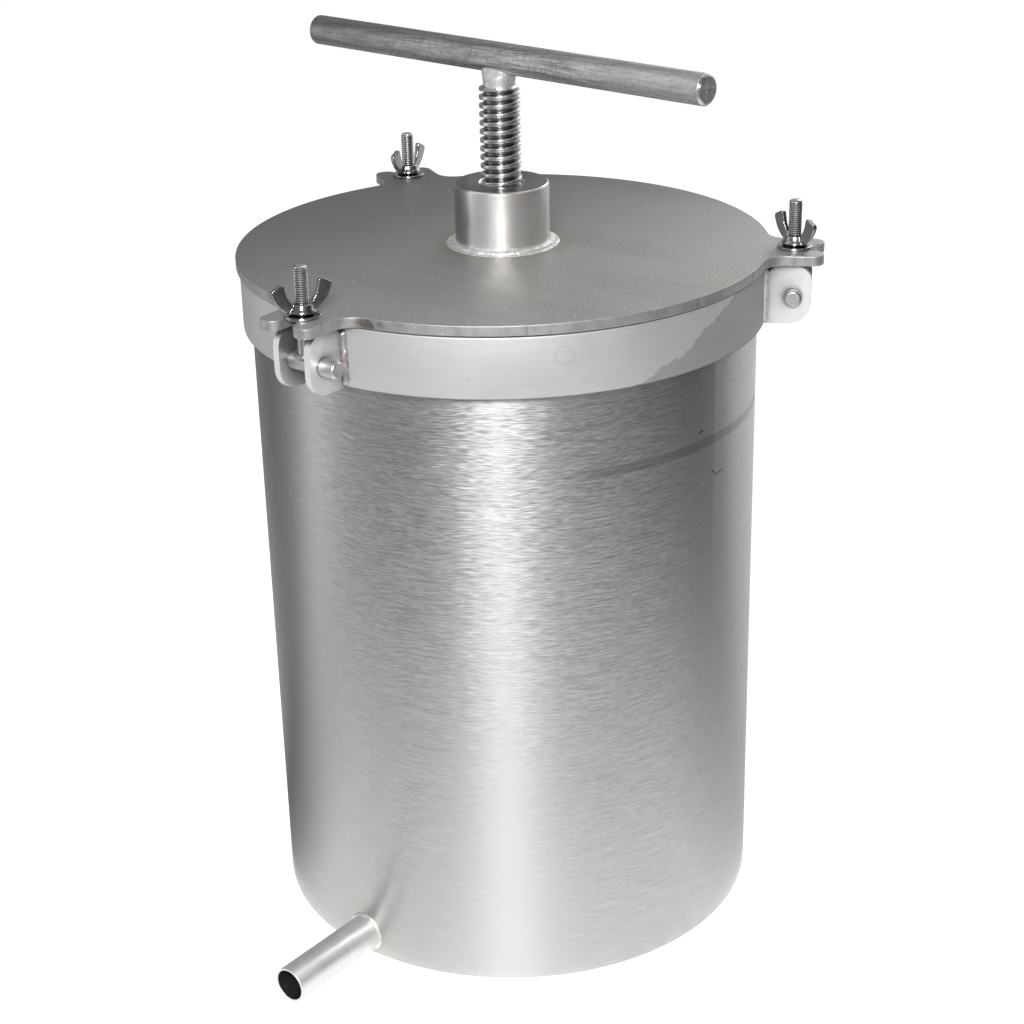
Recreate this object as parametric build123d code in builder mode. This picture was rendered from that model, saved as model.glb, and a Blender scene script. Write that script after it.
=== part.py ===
# Wax melter with a screw press: a steel drum with a drain spout, a lid held by three swing-bolt
# clamps, and a trapezoidal press screw that drives a plate down into a perforated basket.
# Millimetres, +Z up. The origin is the centre of the flat base, and the spout points to -Y.

import os
from math import cos, radians, sin

from build123d import *

os.makedirs("parts", exist_ok=True)

# Driving dimensions: drum, spout and gasket
drum_diameter = 300
drum_height = 408.5
sheet_thickness = 2
floor_thickness = 3
band_height = 35
band_thickness = 5
spout_diameter = 22
spout_wall = 1.5
spout_height = 13
spout_reach = 218
spout_weld = 1.6
gasket_thickness = 1.2
gasket_setback = 1.5

# Driving dimensions: lid and its forked ears
lid_diameter = 314
lid_thickness = 6
ear_width = 37.5
ear_reach = 187.5
ear_root_radius = 12
ear_slot_width = 11
ear_slot_setback = 0.5
prong_flat = 1

# Driving dimensions: clamps
clamp_angles = {"front": 270, "right": 30, "left": 150}
clevis_gap = 18.5
clevis_thickness = 4
clevis_reach = 26
clevis_lower_radius = 13
clevis_upper_radius = 10
clevis_relief = 7.5
pin_diameter = 10
pin_length = 42
pin_shift = 3
pin_drop = 18.7
pin_chamfer = 1
bolt_circle_radius = 170.5
bolt_diameter = 8
bolt_stand = 28
bolt_chamfer = 0.8
washer_diameter = 20.5
washer_thickness = 1.6

# Driving dimensions: wing nuts
wing_angles = {"front": 70, "right": -20, "left": 96}
nut_base_radius = 7.9
nut_base_height = 1.8
nut_neck_radius = 5.6
nut_height = 6
wing_span = 36.2
wing_height = 18
wing_thickness = 2.8
wing_foot = 0.8
wing_tip_width = 7.9
wing_tip_slope = 3.8
wing_tip_radius = 1.5
wing_inner_sag = 1.8
wing_outer_sag = 1.8

# Driving dimensions: press nut, press screw and handle
boss_diameter = 55.5
boss_height = 36
boss_spigot_diameter = 40
boss_chamfer = 1.2
boss_weld = 5
boss_weld_fullness = 0.6
thread_mouth = 2.5
screw_diameter = 24
screw_core_diameter = 18.5
thread_top = 508
thread_bevel = 1
neck_spread = 1.2
saddle_drop = 5.5
handle_diameter = 17.5
handle_length = 296
handle_height = 523.5
handle_angle = -3.1
handle_chamfer = 1.5

# Driving dimensions: press plate and what holds it on the screw
plate_diameter = 260
plate_thickness = 6
plate_bottom = 99
plate_hole_diameter = 12
plate_hole_rings = {60: 8, 105: 12}
hub_diameter = 50
hub_height = 22
hub_chamfer = 3
journal_diameter = 16
keeper_diameter = 32
keeper_thickness = 3
keeper_bolt_diameter = 8
keeper_bolt_depth = 20
keeper_head_across_flats = 13
keeper_head_height = 5.3

# Driving dimensions: basket and its stand
basket_diameter = 284
basket_sheet = 2
basket_top = 398
basket_slot_width = 6
basket_slot_length = 46
basket_slot_columns = 20
basket_slot_rows = 4
basket_hole_diameter = 10
basket_hole_rings = {35: 4, 75: 6, 115: 9}
basket_rim_height = 12
basket_rim_thickness = 2.5
stand_height = 27
stand_ring_width = 22
stand_ring_thickness = 4
stand_leg_diameter = 12
stand_legs = 4

# Clearances between pieces that move on each other
running_clearance = 0.05
pin_clearance = 0.1
nut_clearance = 0.1
washer_clearance = 0.3
axial_play = 0.2

# Derived sizes
drum_radius = drum_diameter / 2
drum_inside = drum_radius - sheet_thickness
band_radius = drum_radius + band_thickness
spout_radius = spout_diameter / 2
lid_radius = lid_diameter / 2
lid_bottom = drum_height + gasket_thickness
lid_top = lid_bottom + lid_thickness
boss_radius = boss_diameter / 2
boss_top = lid_top + boss_height
boss_spigot_radius = boss_spigot_diameter / 2
pin_height = drum_height - pin_drop
bolt_top = lid_top + bolt_stand
nut_seat = lid_top + washer_thickness
plate_top = plate_bottom + plate_thickness
hub_top = plate_top + hub_height
basket_radius = basket_diameter / 2
basket_base = floor_thickness + stand_height
standing = (Align.CENTER, Align.CENTER, Align.MIN)


def heading(angle):
    """Unit vector in the horizontal plane at an angle from +X."""
    return Vector(cos(radians(angle)), sin(radians(angle)), 0)


def upright_plane(origin, angle):
    """Vertical plane through a point: local x runs along the heading, local y is up."""
    outward = heading(angle)
    return Plane(origin=origin, x_dir=outward, z_dir=outward.cross(Vector(0, 0, 1)))


def on_clamp(clamp, height):
    """Point on the axis of a clamp's bolt at a height."""
    return heading(clamp_angles[clamp]) * bolt_circle_radius + Vector(0, 0, height)


def save(piece, name):
    """Label a finished piece and write it under its own name."""
    piece.label = name
    export_step(piece, f"parts/{name}.step")


# Drum: rolled shell with a hole for the spout
spout_plane = Plane(origin=(0, 0, spout_height), x_dir=(1, 0, 0), z_dir=(0, -1, 0))

with BuildPart() as shell:
    Cylinder(drum_radius, drum_height, align=standing)
    Cylinder(drum_inside, drum_height, align=standing, mode=Mode.SUBTRACT)
    with BuildSketch(spout_plane):
        Circle(spout_radius)
    extrude(amount=spout_reach, mode=Mode.SUBTRACT)
save(shell.part, "drum_shell")

# Drum: flat floor disc welded inside the lower edge
with BuildPart() as drum_floor:
    Cylinder(drum_inside, floor_thickness, align=standing)
save(drum_floor.part, "drum_floor")

# Drum: flat-bar band rolled around the rim
with BuildPart() as rim_band:
    with BuildSketch(Plane.XY.offset(drum_height - band_height)):
        Circle(band_radius)
        Circle(drum_radius, mode=Mode.SUBTRACT)
    extrude(amount=band_height)
save(rim_band.part, "rim_band")

# Drain spout: plain tube through the shell, with a fillet weld tapering from the wall onto the tube
with BuildPart() as spout:
    with BuildSketch(spout_plane.offset(drum_inside)):
        Circle(spout_radius + spout_weld + sheet_thickness)
    extrude(amount=sheet_thickness + spout_weld, taper=45)
    Cylinder(drum_radius, drum_height, mode=Mode.SUBTRACT)
    with BuildSketch(spout_plane):
        Circle(spout_radius)
    extrude(amount=spout_reach)
    with BuildSketch(spout_plane):
        Circle(spout_radius - spout_wall)
    extrude(amount=spout_reach, mode=Mode.SUBTRACT)
    Cylinder(drum_inside, drum_height, align=standing, mode=Mode.SUBTRACT)
save(spout.part, "drain_spout")

# Flat gasket on the rim, set back from the band's outer edge
with BuildPart() as gasket:
    with BuildSketch(Plane.XY.offset(drum_height)):
        Circle(band_radius - gasket_setback)
        Circle(drum_inside, mode=Mode.SUBTRACT)
    extrude(amount=gasket_thickness)
save(gasket.part, "lid_gasket")


# Clevises: each clamp has two plates welded to the band, with a hole for the cross pin
def clevis_plate(clamp, side):
    angle = clamp_angles[clamp]
    across = heading(angle + 90) * side * (clevis_gap + clevis_thickness) / 2
    with BuildPart() as plate:
        with BuildSketch(upright_plane(across, angle)) as outline:
            with Locations((drum_radius, drum_height - band_height)):
                Rectangle(
                    band_thickness + clevis_reach,
                    band_height,
                    align=(Align.MIN, Align.MIN),
                )
            lower = outline.vertices().group_by(Axis.Y)[0].sort_by(Axis.X)[-1]
            fillet(lower, radius=clevis_lower_radius)
            upper = outline.vertices().group_by(Axis.Y)[-1].sort_by(Axis.X)[-1]
            fillet(upper, radius=clevis_upper_radius)
            with Locations((bolt_circle_radius, pin_height)):
                Circle(pin_diameter / 2 + pin_clearance, mode=Mode.SUBTRACT)
            with Locations((band_radius, drum_height)):
                Rectangle(clevis_relief, clevis_relief, rotation=45, mode=Mode.SUBTRACT)
        extrude(amount=clevis_thickness / 2, both=True)
        Cylinder(band_radius, drum_height, align=standing, mode=Mode.SUBTRACT)
    return plate.part


# Cross pins: chamfered rods that turn in the clevis holes and stand out further on one side
def cross_pin(clamp):
    angle = clamp_angles[clamp]
    long_end = heading(angle + 90) * (pin_length / 2 + pin_shift)
    with BuildPart() as pin:
        with BuildSketch(upright_plane(long_end, angle)):
            with Locations((bolt_circle_radius, pin_height)):
                Circle(pin_diameter / 2)
        extrude(amount=pin_length)
        chamfer(pin.edges().filter_by(GeomType.CIRCLE), length=pin_chamfer)
    return pin.part


# Swing bolts: threaded rods welded upright on the cross pins, drawn at their thread's crest
def swing_bolt(clamp):
    with BuildPart() as bolt:
        with BuildSketch(Plane.XY.offset(pin_height)):
            with Locations(on_clamp(clamp, 0)):
                Circle(bolt_diameter / 2)
        extrude(amount=bolt_top - pin_height)
        chamfer(bolt.edges().group_by(Axis.Z)[-1], length=bolt_chamfer)
        with BuildSketch(upright_plane((0, 0, 0), clamp_angles[clamp])):
            with Locations((bolt_circle_radius, pin_height)):
                Circle(pin_diameter / 2)
        extrude(amount=pin_length, both=True, mode=Mode.SUBTRACT)
    return bolt.part


# Washers under the wing nuts
def washer(clamp):
    with BuildPart() as ring:
        with BuildSketch(Plane.XY.offset(lid_top)):
            with Locations(on_clamp(clamp, 0)):
                Circle(washer_diameter / 2)
                Circle(bolt_diameter / 2 + washer_clearance, mode=Mode.SUBTRACT)
        extrude(amount=washer_thickness)
    return ring.part


# Wing nuts: a hub that narrows upward, with two blades that lean outward and a hole for the bolt
def wing_nut(clamp):
    seat = on_clamp(clamp, nut_seat)
    wing_plane = upright_plane(seat, wing_angles[clamp])
    blade_root = bolt_diameter / 2
    tip_outer = (wing_span / 2, wing_height - wing_tip_slope)
    tip_inner = (wing_span / 2 - wing_tip_width, wing_height)
    with BuildPart() as nut:
        with BuildSketch(wing_plane):
            with BuildLine():
                Polyline(
                    (0, 0),
                    (nut_base_radius, 0),
                    (nut_base_radius, nut_base_height),
                    (nut_neck_radius, nut_height),
                    (0, nut_height),
                    close=True,
                )
            make_face()
        revolve(axis=Axis(seat, (0, 0, 1)))
        with BuildSketch(wing_plane) as blade:
            with BuildLine():
                Line((blade_root, wing_foot), (nut_base_radius, wing_foot))
                SagittaArc((nut_base_radius, wing_foot), tip_outer, -wing_outer_sag)
                Line(tip_outer, tip_inner)
                SagittaArc(tip_inner, (blade_root, nut_height), wing_inner_sag)
                Line((blade_root, nut_height), (blade_root, wing_foot))
            make_face()
            tip_corners = (blade.vertices().sort_by(Axis.X)[-1], blade.vertices().sort_by(Axis.Y)[-1])
            fillet(tip_corners, radius=wing_tip_radius)
            mirror(about=Plane.YZ)
        extrude(amount=wing_thickness / 2, both=True)
        with BuildSketch(Plane(seat)):
            Circle(bolt_diameter / 2 + nut_clearance)
        extrude(amount=wing_height, mode=Mode.SUBTRACT)
    return nut.part


for clamp in clamp_angles:
    save(clevis_plate(clamp, -1), f"{clamp}_clevis_plate_a")
    save(clevis_plate(clamp, 1), f"{clamp}_clevis_plate_b")
    save(cross_pin(clamp), f"{clamp}_cross_pin")
    save(swing_bolt(clamp), f"{clamp}_swing_bolt")
    save(washer(clamp), f"{clamp}_washer")
    save(wing_nut(clamp), f"{clamp}_wing_nut")

# Lid: one flat plate, with three forked ears that take the swing bolts
ear_places = [Location((0, 0, 0), (0, 0, angle)) for angle in clamp_angles.values()]
prong_width = (ear_width - ear_slot_width) / 2
prong_radius = (prong_width - prong_flat) / 2

with BuildPart() as lid:
    with BuildSketch(Plane.XY.offset(lid_bottom)) as lid_outline:
        Circle(lid_radius)
        with Locations(*ear_places):
            with Locations((ear_reach / 2, 0)):
                Rectangle(ear_reach, ear_width)
        roots = lid_outline.vertices().filter_by(lambda v: v.center().length < lid_radius + 1)
        fillet(roots, radius=ear_root_radius)
        with Locations(*ear_places):
            with Locations((bolt_circle_radius - ear_slot_setback, 0)):
                Circle(ear_slot_width / 2, mode=Mode.SUBTRACT)
                Rectangle(
                    ear_reach,
                    ear_slot_width,
                    align=(Align.MIN, Align.CENTER),
                    mode=Mode.SUBTRACT,
                )
        tips = lid_outline.vertices().filter_by(lambda v: v.center().length > ear_reach - 1)
        fillet(tips, radius=prong_radius)
        Circle(boss_spigot_radius, mode=Mode.SUBTRACT)
    extrude(amount=lid_thickness)
save(lid.part, "lid_plate")

# Press nut: turned boss let into the lid, with a full fillet weld round its foot
screw_bore = screw_diameter / 2 + running_clearance
weld_crown = boss_weld * boss_weld_fullness

with BuildPart() as press_nut:
    with BuildSketch(Plane.XZ):
        with BuildLine():
            Polyline(
                (boss_radius, lid_top + boss_weld),
                (boss_radius, boss_top - boss_chamfer),
                (boss_radius - boss_chamfer, boss_top),
                (screw_bore + thread_mouth, boss_top),
                (screw_bore, boss_top - thread_mouth),
                (screw_bore, lid_bottom),
                (boss_spigot_radius, lid_bottom),
                (boss_spigot_radius, lid_top),
                (boss_radius + boss_weld, lid_top),
            )
            ThreePointArc(
                (boss_radius + boss_weld, lid_top),
                (boss_radius + weld_crown, lid_top + weld_crown),
                (boss_radius, lid_top + boss_weld),
            )
        make_face()
    revolve(axis=Axis.Z)
save(press_nut.part, "press_nut")

# Press screw: drawn at its thread's crest, with a bare neck under the handle and a turned journal below
journal_end = plate_bottom - axial_play
saddle_top = handle_height - saddle_drop
handle_plane = upright_plane((0, 0, handle_height), handle_angle + 90)

with BuildPart() as press_screw:
    with BuildSketch(Plane.XZ):
        with BuildLine():
            Polyline(
                (0, journal_end),
                (journal_diameter / 2, journal_end),
                (journal_diameter / 2, hub_top),
                (screw_diameter / 2, hub_top),
                (screw_diameter / 2, thread_top - thread_bevel),
                (screw_core_diameter / 2, thread_top),
                (screw_core_diameter / 2 + neck_spread, saddle_top),
                (0, saddle_top),
                close=True,
            )
        make_face()
    revolve(axis=Axis.Z)
    with BuildSketch(handle_plane):
        Circle(handle_diameter / 2)
    extrude(amount=handle_length, both=True, mode=Mode.SUBTRACT)
    with BuildSketch(Plane.XY.offset(journal_end)):
        Circle(keeper_bolt_diameter / 2)
    extrude(amount=keeper_bolt_depth, mode=Mode.SUBTRACT)
save(press_screw.part, "press_screw")

# Handle: a cross bar welded on the screw's neck
with BuildPart() as handle:
    with BuildSketch(handle_plane):
        Circle(handle_diameter / 2)
    extrude(amount=handle_length / 2, both=True)
    chamfer(handle.edges().filter_by(GeomType.CIRCLE), length=handle_chamfer)
save(handle.part, "handle_bar")

# Keeper: a washer and a hexagon bolt that hold the plate on the screw's journal
keeper_bottom = journal_end - keeper_thickness

with BuildPart() as keeper_washer:
    with BuildSketch(Plane.XY.offset(keeper_bottom)):
        Circle(keeper_diameter / 2)
        Circle(keeper_bolt_diameter / 2, mode=Mode.SUBTRACT)
    extrude(amount=keeper_thickness)
save(keeper_washer.part, "keeper_washer")

with BuildPart() as keeper_bolt:
    with BuildSketch(Plane.XY.offset(keeper_bottom - keeper_head_height)):
        RegularPolygon(keeper_head_across_flats / 2, 6, major_radius=False)
    extrude(amount=keeper_head_height)
    with BuildSketch(Plane.XY.offset(keeper_bottom)):
        Circle(keeper_bolt_diameter / 2)
    extrude(amount=keeper_thickness + keeper_bolt_depth)
save(keeper_bolt.part, "keeper_bolt")

# Press plate: a drilled disc, with a hub that the screw's journal turns in
journal_bore = journal_diameter / 2 + running_clearance

with BuildPart() as press_plate:
    with BuildSketch(Plane.XY.offset(plate_bottom)):
        Circle(plate_diameter / 2)
        Circle(journal_bore, mode=Mode.SUBTRACT)
        for ring_radius, holes in plate_hole_rings.items():
            with PolarLocations(ring_radius, holes):
                Circle(plate_hole_diameter / 2, mode=Mode.SUBTRACT)
    extrude(amount=plate_thickness)
save(press_plate.part, "press_plate")

with BuildPart() as plate_hub:
    with BuildSketch(Plane.XY.offset(plate_top)):
        Circle(hub_diameter / 2)
        Circle(journal_bore, mode=Mode.SUBTRACT)
    extrude(amount=hub_height)
    chamfer(plate_hub.edges().group_by(Axis.Z)[-1].sort_by(SortBy.RADIUS)[-1], length=hub_chamfer)
save(plate_hub.part, "plate_hub")

# Basket: slotted wall, drilled floor and a plain band round the top
slot_pitch = (basket_top - basket_rim_height - basket_base) / basket_slot_rows
slot_spacing = 360 / basket_slot_columns

with BuildPart() as basket_wall:
    with BuildSketch(Plane.XY.offset(basket_base)):
        Circle(basket_radius)
        Circle(basket_radius - basket_sheet, mode=Mode.SUBTRACT)
    extrude(amount=basket_top - basket_base)
    for column in range(basket_slot_columns // 2):
        with BuildSketch(upright_plane((0, 0, 0), column * slot_spacing)):
            for row in range(basket_slot_rows):
                with Locations((0, basket_base + (row + 0.5) * slot_pitch)):
                    Rectangle(basket_slot_width, basket_slot_length)
        extrude(amount=basket_diameter, both=True, mode=Mode.SUBTRACT)
save(basket_wall.part, "basket_wall")

with BuildPart() as basket_floor:
    with BuildSketch(Plane.XY.offset(basket_base)):
        Circle(basket_radius - basket_sheet)
        for ring_radius, holes in basket_hole_rings.items():
            with PolarLocations(ring_radius, holes):
                Circle(basket_hole_diameter / 2, mode=Mode.SUBTRACT)
    extrude(amount=basket_sheet)
save(basket_floor.part, "basket_floor")

with BuildPart() as basket_rim:
    with BuildSketch(Plane.XY.offset(basket_top - basket_rim_height)):
        Circle(basket_radius + basket_rim_thickness)
        Circle(basket_radius, mode=Mode.SUBTRACT)
    extrude(amount=basket_rim_height)
save(basket_rim.part, "basket_rim")

# Stand: a flat ring on legs that keeps the basket above the melted wax
with BuildPart() as stand:
    with BuildSketch(Plane.XY.offset(basket_base - stand_ring_thickness)):
        Circle(basket_radius)
        Circle(basket_radius - stand_ring_width, mode=Mode.SUBTRACT)
    extrude(amount=stand_ring_thickness)
    with BuildSketch(Plane.XY.offset(floor_thickness)):
        with PolarLocations(basket_radius - stand_ring_width / 2, stand_legs, start_angle=45):
            Circle(stand_leg_diameter / 2)
    extrude(amount=stand_height - stand_ring_thickness)
save(stand.part, "basket_stand")
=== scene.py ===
# %% [markdown]
# # A screw-press wax melter in stainless steel
# The object is a drum on a bench: a lid held by three swing-bolt clamps, a boss on the lid, and a
# trapezoidal screw with a cross bar that drives a press plate down inside. The solids come from a
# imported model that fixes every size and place. This lesson dresses them: broken edges, real threads,
# weld beads, and the many kinds of grey that one grade of steel takes from different tools.

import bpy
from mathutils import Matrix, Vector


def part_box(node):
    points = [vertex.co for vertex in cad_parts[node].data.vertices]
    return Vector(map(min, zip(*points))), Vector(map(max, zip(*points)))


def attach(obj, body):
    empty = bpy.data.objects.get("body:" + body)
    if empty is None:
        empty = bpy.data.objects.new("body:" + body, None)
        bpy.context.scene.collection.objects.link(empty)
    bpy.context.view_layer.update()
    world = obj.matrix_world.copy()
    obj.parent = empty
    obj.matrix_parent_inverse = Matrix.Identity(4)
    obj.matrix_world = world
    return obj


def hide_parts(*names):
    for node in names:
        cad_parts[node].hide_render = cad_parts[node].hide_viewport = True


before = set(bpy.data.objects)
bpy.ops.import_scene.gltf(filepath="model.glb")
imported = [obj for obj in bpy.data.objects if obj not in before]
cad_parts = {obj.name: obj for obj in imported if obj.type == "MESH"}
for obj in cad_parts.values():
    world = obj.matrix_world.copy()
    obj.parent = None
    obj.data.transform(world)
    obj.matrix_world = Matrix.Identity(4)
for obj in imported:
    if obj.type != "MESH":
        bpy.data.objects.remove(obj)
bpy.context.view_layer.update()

# %% Tools used below
from math import cos, pi, radians, sin, sqrt

import bmesh
import bpy
from mathutils import Matrix, Vector, noise

MM = 0.001
scene = bpy.context.scene
UP = Vector((0, 0, 1))

# %% [markdown]
# ## Sizes read from the solids
# Each size that a new piece needs is read from the box of the solid that it dresses, where that box shows
# it. The boss and the spout have their welds in their boxes, so the boss's radius and the height of the
# spout's axis are given here.

# %% Read the main sizes
band_low, band_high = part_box("rim_band")
lid_low, lid_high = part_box("lid_plate")
boss_low, boss_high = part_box("press_nut")
handle_low, handle_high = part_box("handle_bar")
screw_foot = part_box("press_screw")[0].z
hub_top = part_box("plate_hub")[1].z
spout_mouth = -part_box("drain_spout")[0].y

drum_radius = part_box("drum_shell")[1].x
band_radius = band_high.x
lid_top = lid_high.z
boss_top = boss_high.z
boss_radius = 27.75 * MM
spout_axis_height = 13 * MM
handle_height = (handle_low.z + handle_high.z) / 2
print("drum radius", round(drum_radius / MM, 1), "mm, lid top", round(lid_top / MM, 1), "mm")

# %% [markdown]
# ## The camera
# The photograph looks down on the drum from the front right. Its place and lens were found by matching
# the lid's two edges, the band's lower edge, the base and the drum's two sides to their lines in the
# picture. The small roll is in the picture too: the drum leans a little.

# %% Set the camera
lens = bpy.data.cameras.new("photo_lens")
lens.sensor_width = 36
lens.lens = 72.96
lens.clip_end = 50
camera = bpy.data.objects.new("photo_camera", lens)
scene.collection.objects.link(camera)
camera_heading = 38.93
camera_dip = 23.658
camera_roll = -1.358
camera_place = (0.7454, -0.9204, 0.7601)
camera.matrix_world = (
    Matrix.Translation(camera_place)
    @ Matrix.Rotation(radians(camera_heading), 4, "Z")
    @ Matrix.Rotation(radians(90 - camera_dip), 4, "X")
    @ Matrix.Rotation(radians(camera_roll), 4, "Z")
)
scene.camera = camera
print("camera stands", round(camera.location.length, 2), "m from the drum's foot")

# %% [markdown]
# ## Building materials from nodes
# Steel is almost all reflection, so its character lies in small changes of colour, roughness and slope.
# A Finish holds one material's node tree. Most of its calls add a node or a few and give back an output,
# so a finish reads from top to bottom like a recipe. The studio's air uses the plain Nodes under it.


# %% Helpers for node trees and finishes
class Nodes:
    """A node tree, with short calls that add nodes and link them."""

    def __init__(self, tree):
        self.tree = tree

    def add(self, kind, **values):
        """Add a node; a value with a capital in front feeds an input, any other is a setting."""
        node = self.tree.nodes.new("ShaderNode" + kind)
        for name, value in values.items():
            if name[0].isupper():
                self.feed(node.inputs[name], value)
            else:
                setattr(node, name, value)
        return node

    def feed(self, socket, value):
        if isinstance(value, bpy.types.NodeSocket):
            self.tree.links.new(value, socket)
        else:
            socket.default_value = value

    def math(self, operation, first, second=0.0, third=0.0):
        node = self.add("Math", operation=operation)
        for socket, value in zip(node.inputs, (first, second, third)):
            self.feed(socket, value)
        return node.outputs[0]


class Finish(Nodes):
    """One material, with the nodes that steel needs.

    The sizes of spots, scratches, crevices and relief are in millimetres."""

    def __init__(self, name, metallic=1.0, roughness=0.4):
        self.material = bpy.data.materials.new(name)
        self.material.use_nodes = True
        super().__init__(self.material.node_tree)
        self.shader = self.tree.nodes["Principled BSDF"]
        self.set("Metallic", metallic)
        self.set("Roughness", roughness)
        self.place = self.add("TexCoord").outputs["Object"]

    def set(self, name, value):
        self.feed(self.shader.inputs[name], value)

    def times(self, first, second):
        return self.math("MULTIPLY", first, second)

    def vector(self, operation, first, second=(0, 0, 0), scale=1.0):
        """One step of vector arithmetic; dot products and distances give a number."""
        node = self.add("VectorMath", operation=operation)
        self.feed(node.inputs[0], first)
        self.feed(node.inputs[1], second)
        if operation == "SCALE":
            self.feed(node.inputs["Scale"], scale)
        return node.outputs["Value" if operation in ("DOT_PRODUCT", "DISTANCE") else "Vector"]

    def stretched(self, x, y, z, place=None):
        return self.vector("MULTIPLY", place or self.place, (x, y, z))

    def noise(self, scale, detail=2.0, rough=0.5, swirl=0.0, place=None):
        grain = {"Scale": scale, "Detail": detail, "Roughness": rough, "Distortion": swirl}
        return self.add("TexNoise", Vector=place or self.place, **grain).outputs[0]

    def lines(self, stretch, detail=2.0, rough=0.5, swirl=0.0, place=None):
        """Noise with its own scale along each axis, so it can be drawn out into lines."""
        return self.noise(1.0, detail, rough, swirl, self.stretched(*stretch, place))

    def axes(self, place=None):
        return self.add("SeparateXYZ", Vector=place or self.place).outputs

    def ramp(self, value, *stops):
        node = self.add("ValToRGB")
        self.feed(node.inputs[0], value)
        elements = node.color_ramp.elements
        while len(elements) < len(stops):
            elements.new(0.5)
        for element, (position, tone) in zip(elements, stops):
            element.position = position
            element.color = (*tone, 1) if isinstance(tone, tuple) else (tone, tone, tone, 1)
        return node.outputs[0]

    def shades(self, value, first, second):
        """A ramp over the range that a noise mostly keeps to."""
        return self.ramp(value, (0.3, first), (0.7, second))

    def step(self, value, start, end):
        node = self.add("MapRange", interpolation_type="SMOOTHSTEP")
        for socket, number in zip(node.inputs, (value, start, end, 0.0, 1.0)):
            self.feed(socket, number)
        return node.outputs[0]

    def band(self, value, low, high, soft):
        """1 where a value lies between two limits, fading out over a soft width."""
        rise = self.step(value, low - soft, low)
        fall = self.step(value, high + soft, high)
        return self.times(rise, fall)

    def blend(self, share, first, second, mode="MIX"):
        node = self.add("Mix", data_type="RGBA", blend_type=mode)
        self.feed(node.inputs[0], share)
        for socket, value in ((node.inputs[6], first), (node.inputs[7], second)):
            self.feed(socket, (*value, 1) if isinstance(value, tuple) else value)
        return node.outputs[2]

    def distance(self, point, place=None):
        return self.vector("DISTANCE", place or self.place, point)

    def from_axis(self):
        return self.distance((0, 0, 0), self.stretched(1, 1, 0))

    def towards(self, angle):
        """How far a point lies from the Z axis in a level direction."""
        return self.vector("DOT_PRODUCT", self.place, (cos(radians(angle)), sin(radians(angle)), 0))

    def straight(self):
        """The surface's own direction, before any bump."""
        return self.add("NewGeometry").outputs["Normal"]

    def facing_up(self):
        """1 on level faces that look up, -1 on those that look down, 0 on upright ones."""
        return self.axes(self.straight())[2]

    def leaned(self, amount):
        """The surface's direction, leaned a little to one side round the Z axis."""
        straight = self.straight()
        aside = self.vector("CROSS_PRODUCT", straight, UP)
        return self.vector("ADD", straight, self.vector("SCALE", aside, scale=amount))

    def dots(self, scale, radius):
        """Scattered small spots, where the points of a cell pattern touch the surface."""
        cells = self.add("TexVoronoi", Vector=self.place, Scale=scale)
        reach = self.math("DIVIDE", cells.outputs["Distance"], scale)
        radius = radius * MM
        return self.step(reach, radius, 0.6 * radius)

    def groove(self):
        """1 in a thread's root, 0 on its crest, as the thread's own points say."""
        return self.add("Attribute", attribute_name="groove").outputs["Fac"]

    def crevice(self, reach, open_share=0.72, shut_share=0.22):
        """1 deep between neighbouring pieces, 0 in the open: a mask for painted shade."""
        shade = self.add("AmbientOcclusion", samples=8, Distance=reach * MM)
        return self.step(shade.outputs["AO"], open_share, shut_share)

    def stroke(self, start, end, width):
        """1 on a thin scratch between two points, 0 away from it."""
        width = width * MM
        start = Vector(start) * MM
        way = Vector(end) * MM - start
        beyond = self.vector("SUBTRACT", self.place, start)
        share = self.vector("DOT_PRODUCT", beyond, way / way.length_squared)
        foot = self.vector("SCALE", way, scale=self.add("Clamp", Value=share).outputs[0])
        return self.step(self.vector("DISTANCE", beyond, foot), width, 0.4 * width)

    def colour(self, tone):
        self.tone = tone
        self.set("Base Color", tone)

    def tint(self, mask, share, tint):
        """Lay a tint over the colour so far where a mask is 1, at a share of full strength."""
        self.colour(self.blend(self.times(mask, share), self.tone, tint))

    def roughness(self, value, first, second):
        self.set("Roughness", self.shades(value, first, second))

    def bump(self, height, depth, strength, after=None):
        relief = self.add("Bump", Strength=strength, Distance=depth * MM, Height=height)
        if after:
            self.feed(relief.inputs["Normal"], after)
        self.set("Normal", relief.outputs[0])

    def brushed_round(self, amount, axis="Z"):
        """Lines run round an axis, so a highlight spreads along it."""
        tangent = self.add("Tangent", direction_type="RADIAL", axis=axis)
        self.set("Tangent", tangent.outputs[0])
        self.set("Anisotropic", amount)
        self.set("Anisotropic Rotation", 0.25)


print("finish helpers ready")

# %% [markdown]
# ## The studio
# Bright steel is a mirror of its room, so the room is built first. The floor is pale and reads as white,
# and keeps a faint shadow. Around it stands what a photographer puts round shiny metal: a key light
# close to the lens, a soft light behind on the right, and grey cards that only reflections see. The
# cards give the drum its dark flanks; without them the metal would look like paper.

# %% Floor and world
floor_half = 8
floor_height = -0.5 * MM
floor_glow = 0.72
floor_ways = ((-1, -1), (1, -1), (1, 1), (-1, 1))
floor_mesh = bpy.data.meshes.new("studio_floor")
floor_corners = [(x * floor_half, y * floor_half, floor_height) for x, y in floor_ways]
floor_mesh.from_pydata(floor_corners, [], [(0, 1, 2, 3)])
studio_floor = bpy.data.objects.new("studio_floor", floor_mesh)
scene.collection.objects.link(studio_floor)

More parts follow.
